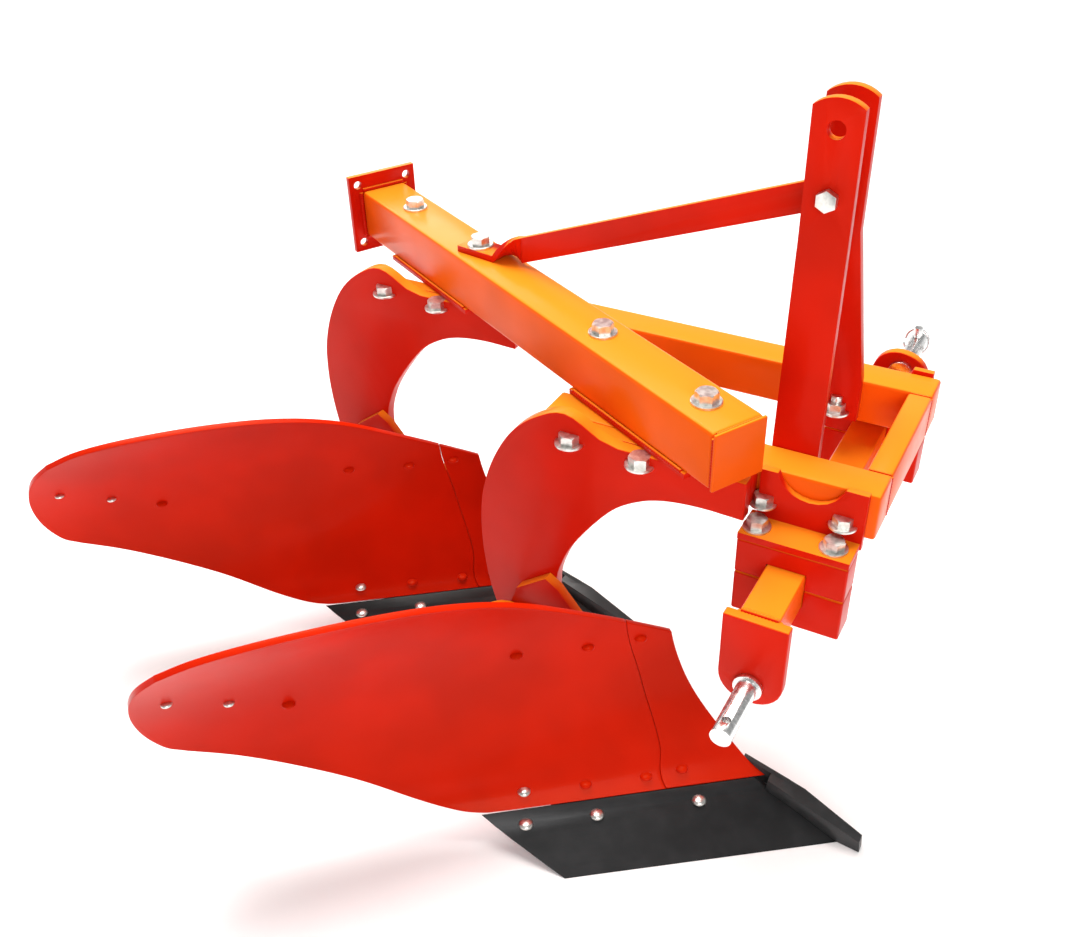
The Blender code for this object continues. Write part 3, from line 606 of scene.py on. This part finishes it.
# %% Mouldboards and shins
SHARE_HEIGHT = 0.0555
SEAM = 0.0006
SHIN_SEAM = ((0.147, 0.0563), (0.092, 0.122), (0.064, 0.206), (0.064, 0.302))
SHIN_TOP = ((0.000, 0.271), (0.0634, 0.302))
BOARD_TOP = ((0.064, 0.302), (0.125, 0.332), (0.233, 0.384), (0.338, 0.416), (0.450, 0.432),
             (0.560, 0.435), (0.635, 0.426), (0.680, 0.404))
BOARD_TAIL = ((0.684, 0.217), (0.706, 0.233), (0.719, 0.272), (0.719, 0.325), (0.706, 0.371),
              (0.680, 0.404))
BOARD_BOTTOM = ((0.147, 0.0563), (0.290, 0.0563), (0.385, 0.0566), (0.415, 0.0582), (0.440, 0.065),
                (0.471, 0.084), (0.525, 0.128), (0.618, 0.185), (0.684, 0.217))

for name, shift in BODIES.items():
    mouldboard = curved_plate(f"mouldboard_{name}_plate", BOARD_BOTTOM, BOARD_TOP, SHIN_SEAM, BOARD_TAIL,
                              120, 56, shift)
    finish(mouldboard, "plough", board_paint, "red_paint", f"mouldboard_{name}")
    seam = [(u - SEAM, height) for u, height in SHIN_SEAM]
    foot = SHARE_HEIGHT + SEAM
    shin = curved_plate(f"shin_{name}_plate", ((0.000, foot), (seam[0][0], foot)), SHIN_TOP,
                        ((0.000, foot), (0.000, 0.271)), seam, 24, 48, shift)
    finish(shin, "plough", board_paint, "red_paint", f"shin_{name}")

# %% [markdown]
# The share keeps its CAD shape, because the point bar cuts its land end away. It
# only needs softer edges.

# %% Shares
for name in BODIES:
    share = softened(f"share_{name}", 0.0005)
    finish(share, "plough", share_black, "black_steel", f"share_{name}")

# %% [markdown]
# ## Bolts
# A plough is held together by dozens of bolts in a few sizes. Geometry Nodes put one
# bolt head on each point of a small cloud: every point carries its direction, its
# size and its turn, and the tree scales and turns the head to suit.


# %% Heads to repeat
def turned_solid(name, profile, sides):
    """A closed solid of revolution from (radius, height) pairs."""
    work = bmesh.new()
    rings = []
    for radius, height in profile:
        ring = [work.verts.new((radius * math.cos(2 * math.pi * k / sides),
                                radius * math.sin(2 * math.pi * k / sides), height))
                for k in range(sides)]
        rings.append(ring)
    for a, b in zip(rings, rings[1:]):
        for k in range(sides):
            work.faces.new((a[k], a[(k + 1) % sides], b[(k + 1) % sides], b[k]))
    work.faces.new(list(reversed(rings[0])))
    work.faces.new(rings[-1])
    mesh = bpy.data.meshes.new(name)
    bmesh.ops.recalc_face_normals(work, faces=work.faces)
    work.to_mesh(mesh)
    work.free()
    made = bpy.data.objects.new(name, mesh)
    scene.collection.objects.link(made)
    return made


def hexagon_head():
    """A unit hexagon head with its washer: 1 across the corners, 12-sided crown."""
    head = turned_solid("hexagon_head", ((0.50, 0.10), (0.50, 0.52)), 6)
    crown = turned_solid("crown", ((0.62, 0.0), (0.62, 0.36), (0.51, 0.46), (0.445, 0.52),
                                   (0.30, 0.545)), 36)
    trim = head.modifiers.new("crown", "BOOLEAN")
    trim.operation = "INTERSECT"
    trim.object = crown
    applied(head)
    washer = turned_solid("washer", ((0.66, 0.0), (0.66, 0.09), (0.63, 0.115), (0.40, 0.115)), 36)
    join = head.modifiers.new("washer", "BOOLEAN")
    join.operation = "UNION"
    join.object = washer
    applied(head)
    bpy.data.objects.remove(crown)
    bpy.data.objects.remove(washer)
    return head


def nut_with_thread():
    """A hexagon nut, its washer and the bolt's end standing out of it."""
    nut = hexagon_head()
    nut.name = "nut_with_thread"
    end = turned_solid("thread_end", ((0.27, 0.3), (0.27, 0.80), (0.235, 0.86)), 24)
    join = nut.modifiers.new("end", "BOOLEAN")
    join.operation = "UNION"
    join.object = end
    applied(nut)
    bpy.data.objects.remove(end)
    return nut


def round_head():
    """A low domed head, as on share bolts."""
    arc = [(0.5 * math.cos(math.radians(a)), 0.26 * math.sin(math.radians(a))) for a in range(0, 90, 12)]
    return turned_solid("round_head", [(0.5, -0.06)] + arc + [(0.03, 0.26)], 28)


HEADS = {"hexagon": hexagon_head(), "nut": nut_with_thread(), "round": round_head()}
for head in HEADS.values():
    head.data.shade_smooth()
    head.data.set_sharp_from_angle(angle=math.radians(28))


# %% [markdown]
# The tree reads three attributes from the point cloud. Instance on Points places the
# head, Realize Instances turns the copies into real mesh, and Set Material gives them
# their finish.


# %% The bolt tree
def bolt_tree(name, head, material):
    tree = bpy.data.node_groups.new(name, "GeometryNodeTree")
    tree.interface.new_socket("Points", in_out="INPUT", socket_type="NodeSocketGeometry")
    size = tree.interface.new_socket("Size", in_out="INPUT", socket_type="NodeSocketFloat")
    size.default_value = 1.0
    tree.interface.new_socket("Bolts", in_out="OUTPUT", socket_type="NodeSocketGeometry")
    nodes, links = tree.nodes, tree.links
    start = nodes.new("NodeGroupInput")
    end = nodes.new("NodeGroupOutput")

    def reading(attribute, kind):
        made = nodes.new("GeometryNodeInputNamedAttribute")
        made.data_type = kind
        made.inputs["Name"].default_value = attribute
        return made.outputs["Attribute"]

    source = nodes.new("GeometryNodeObjectInfo")
    source.inputs["Object"].default_value = head
    aim = nodes.new("FunctionNodeAlignRotationToVector")
    aim.axis = "Z"
    links.new(reading("axis", "FLOAT_VECTOR"), aim.inputs["Vector"])
    spin = nodes.new("FunctionNodeRotateRotation")
    spin.rotation_space = "LOCAL"
    turn = nodes.new("FunctionNodeAxisAngleToRotation")
    links.new(reading("turn", "FLOAT"), turn.inputs["Angle"])
    links.new(aim.outputs["Rotation"], spin.inputs["Rotation"])
    links.new(turn.outputs["Rotation"], spin.inputs["Rotate By"])
    width = nodes.new("ShaderNodeMath")
    width.operation = "MULTIPLY"
    links.new(reading("width", "FLOAT"), width.inputs[0])
    links.new(start.outputs["Size"], width.inputs[1])
    copies = nodes.new("GeometryNodeInstanceOnPoints")
    links.new(start.outputs["Points"], copies.inputs["Points"])
    links.new(source.outputs["Geometry"], copies.inputs["Instance"])
    links.new(spin.outputs["Rotation"], copies.inputs["Rotation"])
    links.new(width.outputs[0], copies.inputs["Scale"])
    real = nodes.new("GeometryNodeRealizeInstances")
    links.new(copies.outputs["Instances"], real.inputs["Geometry"])
    dress = nodes.new("GeometryNodeSetMaterial")
    dress.inputs["Material"].default_value = material
    links.new(real.outputs["Geometry"], dress.inputs["Geometry"])
    links.new(dress.outputs["Geometry"], end.inputs["Bolts"])
    return tree


def bolts(name, kind, material, slot, body, places, size=1.0):
    """One piece of many bolts: places holds (point, outward direction, width, turn)."""
    cloud = bpy.data.meshes.new(name)
    cloud.from_pydata([tuple(point) for point, *_ in places], [], [])
    axis = cloud.attributes.new("axis", "FLOAT_VECTOR", "POINT")
    width = cloud.attributes.new("width", "FLOAT", "POINT")
    turn = cloud.attributes.new("turn", "FLOAT", "POINT")
    for index, (point, outward, across, angle) in enumerate(places):
        axis.data[index].vector = Vector(outward).normalized()
        width.data[index].value = across
        turn.data[index].value = math.radians(angle)
    piece = bpy.data.objects.new(name, cloud)
    scene.collection.objects.link(piece)
    tree = bolt_tree(f"{name}_tree", HEADS[kind], material)
    modifier = piece.modifiers.new("bolts", "NODES")
    modifier.node_group = tree
    socket = next(item for item in tree.interface.items_tree
                  if item.name == "Size" and item.in_out == "INPUT")
    modifier[socket.identifier] = size
    applied(piece)
    finish(piece, body, material, slot)
    print(name, len(places), "bolts,", len(piece.data.polygons), "faces")
    return piece


# %% [markdown]
# First the bolts of the frame: four down through the beam, two sideways through each
# standard's head, and the ones that hold the hitch brackets and clamps. The rear
# bolt of each standard is tapped into the web, so it has no nut.

# %% Frame bolts
HEX = 0.030
BRACKET_HEX = 0.027
BEAM_BOLTS = (0.060, 0.275, 0.812)
STAY_BOLT = 0.5966
STAY_FOOT = 0.0106
frame_heads = []
frame_nuts = []
for distance in BEAM_BOLTS:
    frame_heads.append((START + ALONG * distance + UP * BEAM_TOP, UP, HEX, 12 + 90 * distance))
frame_heads.append((START + ALONG * STAY_BOLT + UP * (BEAM_TOP + STAY_FOOT), UP, HEX, 8))

STANDARD_RIGHT = 0.010
STANDARD_NUT_SIDE = 0.0537
STANDARD_BOLTS = ((-0.229, 0.555, 10), (-0.129, 0.551, 25))
for name, shift in BODIES.items():
    for x, height, turn in STANDARD_BOLTS:
        frame_heads.append((at(x, STANDARD_RIGHT, height) + shift, (0, -1, 0), HEX, turn))
    frame_nuts.append((at(x, STANDARD_NUT_SIDE, height) + shift, (0, 1, 0), HEX, turn + 20))

BRACKET_PLATE = 0.010
plate_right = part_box("hitch_bracket_right")[1].y - BRACKET_PLATE
plate_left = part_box("hitch_bracket_left")[0].y + BRACKET_PLATE
block_low, block_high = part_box("clamp_block_lower_right")
left_block_low, left_block_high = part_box("clamp_block_lower_left")
LEG_TOP = 0.500
for x, height, turn in ((0.025, 0.521, 5), (0.126, 0.520, 18)):
    frame_heads.append((Vector((at(x, 0, 0).x, plate_right, height)), (0, -1, 0), BRACKET_HEX, turn))
    frame_heads.append((Vector((at(x, 0, 0).x, plate_left, height)), (0, 1, 0), BRACKET_HEX, turn + 10))
middle = (block_low.y + block_high.y) / 2 - 0.001
left_middle = (left_block_low.y + left_block_high.y) / 2 + 0.001
for x, turn in ((0.027, 15), (0.124, 2)):
    for place in (middle, left_middle):
        spot = Vector((at(x, 0, 0).x, place, 0))
        frame_heads.append((spot + UP * LEG_TOP, UP, BRACKET_HEX, turn))
        frame_nuts.append((spot + UP * block_low.z, -UP, BRACKET_HEX, turn + 9))
MAST_X = 0.040
MAST_NUT_HEIGHT = 0.518
MAST_PLATE = 0.0120
mast_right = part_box("mast_upright_right")[0].y + MAST_PLATE
mast_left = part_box("mast_upright_left")[1].y - MAST_PLATE
for face, hand in ((mast_right, 1), (mast_left, -1)):
    frame_nuts.append((Vector((at(MAST_X, 0, 0).x, face, MAST_NUT_HEIGHT)), (0, hand, 0), HEX, 12))

bolts("frame_bolt_heads", "hexagon", bolt_zinc, "zinc_steel", "plough", frame_heads)
bolts("frame_nuts", "nut", bolt_zinc, "zinc_steel", "plough", frame_nuts)

# %% [markdown]
# The bodies' bolts have low round heads that sit almost flush, so that soil does
# not catch on them. Those in the share are bare zinc, and those in the mouldboard
# were painted with it.

# %% Body bolts
SHARE_BOLTS = ((0.377, 0.043), (0.275, 0.043), (0.126, 0.043))
BARE_BOARD_BOLTS = ((0.328, 0.075), (0.600, 0.303), (0.672, 0.332))
PAINTED_BOLTS = ((0.241, 0.073), (0.154, 0.072), (0.098, 0.075), (0.222, 0.282), (0.122, 0.272),
                 (0.046, 0.270), (0.530, 0.274))


def surface_bolts(spots, shift, width, lift):
    return [(on_surface(u, height, lift) + shift, facing(u, height), width, 0) for u, height in spots]


bare, painted, small_bare = [], [], []
for name, shift in BODIES.items():
    bare += surface_bolts(SHARE_BOLTS, shift, 0.021, 0.0005)
    bare += surface_bolts(BARE_BOARD_BOLTS[:1], shift, 0.019, 0.0005)
    small_bare += surface_bolts(BARE_BOARD_BOLTS[1:], shift, 0.015, 0.0)
    painted += surface_bolts(PAINTED_BOLTS, shift, 0.018, 0.0)
bolts("share_bolt_heads", "round", bolt_zinc, "zinc_steel", "plough", bare)
bolts("tail_bolt_heads", "round", bolt_zinc, "zinc_steel", "plough", small_bare)
bolts("painted_bolt_heads", "round", board_paint, "red_paint", "plough", painted)

# %% [markdown]
# ## Welds
# Where the shop welded a joint, a rippled bead lies along it. A Geometry Nodes tree
# sweeps a circle along each seam, and swells and narrows it with a sine of the
# distance, which is how the puddles of a weld overlap.


# %% The weld tree
def weld_tree():
    tree = bpy.data.node_groups.new("weld_bead", "GeometryNodeTree")
    tree.interface.new_socket("Seam", in_out="INPUT", socket_type="NodeSocketGeometry")
    for name, value in (("Radius", 0.004), ("Ripple", 0.0042), ("Depth", 0.16)):
        socket = tree.interface.new_socket(name, in_out="INPUT", socket_type="NodeSocketFloat")
        socket.default_value = value
    tree.interface.new_socket("Bead", in_out="OUTPUT", socket_type="NodeSocketGeometry")
    nodes, links = tree.nodes, tree.links
    start = nodes.new("NodeGroupInput")
    end = nodes.new("NodeGroupOutput")

    def maths(operation, first, second=None):
        made = nodes.new("ShaderNodeMath")
        made.operation = operation
        for socket, value in zip(made.inputs, (first, second)):
            if value is None:
                continue
            if isinstance(value, (int, float)):
                socket.default_value = value
            else:
                links.new(value, socket)
        return made.outputs[0]

    line = nodes.new("GeometryNodeMeshToCurve")
    links.new(start.outputs["Seam"], line.inputs["Mesh"])
    fine = nodes.new("GeometryNodeResampleCurve")
    fine.mode = "LENGTH"
    fine.inputs["Length"].default_value = 0.0011
    links.new(line.outputs["Curve"], fine.inputs["Curve"])
    place = nodes.new("GeometryNodeSplineParameter")
    turns = maths("DIVIDE", place.outputs["Length"], start.outputs["Ripple"])
    wave = maths("SINE", maths("MULTIPLY", turns, 2 * math.pi))
    swell = maths("ADD", maths("MULTIPLY", wave, start.outputs["Depth"]), 1.0)
    thick = maths("MULTIPLY", swell, start.outputs["Radius"])
    ring = nodes.new("GeometryNodeCurvePrimitiveCircle")
    ring.inputs["Resolution"].default_value = 10
    ring.inputs["Radius"].default_value = 1.0
    sweep = nodes.new("GeometryNodeCurveToMesh")
    sweep.inputs["Fill Caps"].default_value = True
    links.new(fine.outputs["Curve"], sweep.inputs["Curve"])
    links.new(ring.outputs["Curve"], sweep.inputs["Profile Curve"])
    links.new(thick, sweep.inputs["Scale"])
    real = nodes.new("GeometryNodeRealizeInstances")
    links.new(sweep.outputs["Mesh"], real.inputs["Geometry"])
    dress = nodes.new("GeometryNodeSetMaterial")
    dress.inputs["Material"].default_value = paint
    links.new(real.outputs["Geometry"], dress.inputs["Geometry"])
    links.new(dress.outputs["Geometry"], end.inputs["Bead"])
    return tree


WELD = weld_tree()


def weld(name, seams, radius, body="plough"):
    """A bead along each seam, a list of straight runs between two points."""
    mesh = bpy.data.meshes.new(name)
    corners = [tuple(point) for seam in seams for point in seam]
    mesh.from_pydata(corners, [(2 * k, 2 * k + 1) for k in range(len(seams))], [])
    piece = bpy.data.objects.new(name, mesh)
    scene.collection.objects.link(piece)
    modifier = piece.modifiers.new("bead", "NODES")
    modifier.node_group = WELD
    for item in WELD.interface.items_tree:
        if item.name == "Radius" and item.in_out == "INPUT":
            modifier[item.identifier] = radius
    applied(piece)
    piece.data.shade_smooth()
    print(name, len(seams), "seams,", len(piece.data.polygons), "faces")
    return finish(piece, body, paint, "red_paint")


# %% [markdown]
# The pads are welded to the beam's lower edges, the side bars to the front bar, the
# cap and end plate to the beam, and the crank arms to the cross shaft.

# %% Weld beads
BEAM_BOTTOM = 0.575
HALF_BEAM = 0.040
pad_seams = []
for shift in BODIES.values():
    for hand in (-1, 1):
        edge = START + shift + ACROSS * hand * (HALF_BEAM + 0.0005) + UP * (BEAM_BOTTOM - 0.0005)
        pad_seams.append((edge + ALONG * 0.052, edge + ALONG * 0.285))
weld("pad_welds", pad_seams, 0.0030)

corner_seams = []
front_low, front_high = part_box("frame_front_bar")
for y in (front_low.y, front_high.y):
    corner_seams.append((Vector((front_low.x + 0.003, y, front_high.z - 0.0012)),
                         Vector((front_high.x - 0.003, y, front_high.z - 0.0012))))
    corner_seams.append((Vector((front_high.x - 0.0012, y, front_low.z + 0.004)),
                         Vector((front_high.x - 0.0012, y, front_high.z - 0.004))))
weld("frame_corner_welds", corner_seams, 0.0018)

cap_seams = []
cap_face = START - ALONG * 0.0002
for hand in (-1, 1):
    side_edge = cap_face + ACROSS * hand * (HALF_BEAM - 0.0012)
    cap_seams.append((side_edge + UP * (BEAM_BOTTOM + 0.006), side_edge + UP * (BEAM_TOP - 0.006)))
for level in (BEAM_BOTTOM + 0.0012, BEAM_TOP - 0.0012):
    middle_of_edge = cap_face + UP * level
    cap_seams.append((middle_of_edge + ACROSS * -0.034, middle_of_edge + ACROSS * 0.034))
weld("cap_welds", cap_seams, 0.0016)

plate_seams = []
plate_face = START + ALONG * 0.9325
for hand in (-1, 1):
    side_edge = plate_face + ACROSS * hand * (HALF_BEAM + 0.0015)
    plate_seams.append((side_edge + UP * (BEAM_BOTTOM + 0.002), side_edge + UP * (BEAM_TOP - 0.002)))
for level in (BEAM_BOTTOM - 0.0015, BEAM_TOP + 0.0015):
    middle_of_edge = plate_face + UP * level
    plate_seams.append((middle_of_edge + ACROSS * -0.038, middle_of_edge + ACROSS * 0.038))
weld("end_plate_welds", plate_seams, 0.0035)

arm_seams = []
shaft_low, shaft_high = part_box("cross_shaft")
for arm, sign in (("crank_arm_right", 1), ("crank_arm_left", -1)):
    low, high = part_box(arm)
    face = (high.y if sign > 0 else low.y) + sign * 0.0003
    for z in (shaft_low.z - 0.0004, shaft_high.z + 0.0004):
        arm_seams.append((Vector((shaft_low.x + 0.002, face, z)),
                          Vector((shaft_high.x - 0.002, face, z))))
    for x in (shaft_low.x - 0.0004, shaft_high.x + 0.0004):
        arm_seams.append((Vector((x, face, shaft_low.z + 0.002)),
                          Vector((x, face, shaft_high.z - 0.002))))
weld("crank_arm_welds", arm_seams, 0.0030, "cross_shaft")

# %% [markdown]
# ## The linch pin
# A spring-ring pin keeps the tractor's link on the left hitch pin. Its pin goes
# through the cross hole, and its wire ring snaps round the hitch pin's end.

# %% Linch pin
pin_low, pin_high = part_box("hitch_pin_left")
PIN_X = (pin_low.x + pin_high.x) / 2
PIN_Z = (pin_low.z + pin_high.z) / 2
LINCH_Y = pin_high.y - 0.018


def wire(name, points, radius, closed=False):
    data = bpy.data.curves.new(name, "CURVE")
    data.dimensions = "3D"
    data.bevel_depth = radius
    data.bevel_resolution = 5
    data.use_fill_caps = True
    line = data.splines.new("POLY")
    line.points.add(len(points) - 1)
    for spot, point in zip(line.points, points):
        spot.co = (*point, 1)
    line.use_cyclic_u = closed
    made = bpy.data.objects.new(name, data)
    scene.collection.objects.link(made)
    return made


def as_mesh(made):
    graph = bpy.context.evaluated_depsgraph_get()
    mesh = bpy.data.meshes.new_from_object(made.evaluated_get(graph))
    name = made.name
    bpy.data.objects.remove(made)
    work = bmesh.new()
    work.from_mesh(mesh)
    bmesh.ops.remove_doubles(work, verts=work.verts, dist=0.00001)
    bmesh.ops.recalc_face_normals(work, faces=work.faces)
    work.to_mesh(mesh)
    work.free()
    mesh.shade_smooth()
    mesh.set_sharp_from_angle(angle=math.radians(50))
    piece = bpy.data.objects.new(name, mesh)
    scene.collection.objects.link(piece)
    return piece


linch = turned_solid("linch_pin_rod", ((0.0035, -0.024), (0.0050, -0.020), (0.0050, 0.017),
                                       (0.0068, 0.018), (0.0072, 0.026), (0.0060, 0.030)), 24)
linch.data.transform(Matrix.Translation((PIN_X, LINCH_Y, PIN_Z)))
linch.data.shade_smooth()
linch.data.set_sharp_from_angle(angle=math.radians(35))
finish(linch, "cross_shaft", pin_zinc, "zinc_steel")

RING_RADIUS = 0.0205
ring_points = []
for step in range(49):
    angle = math.radians(-84 + 348 * step / 48)
    ring_points.append(Vector((PIN_X + RING_RADIUS * math.sin(angle) * 0.86,
                               LINCH_Y + 0.006 * math.cos(angle / 2),
                               PIN_Z + 0.004 + RING_RADIUS * math.cos(angle))))
ring = as_mesh(wire("linch_pin_ring", ring_points, 0.0018))
finish(ring, "cross_shaft", pin_zinc, "zinc_steel")

# %% [markdown]
# ## Tidy up
# The heads that the bolts were copied from are removed.

# %% Remove the model heads
for head in HEADS.values():
    bpy.data.objects.remove(head)
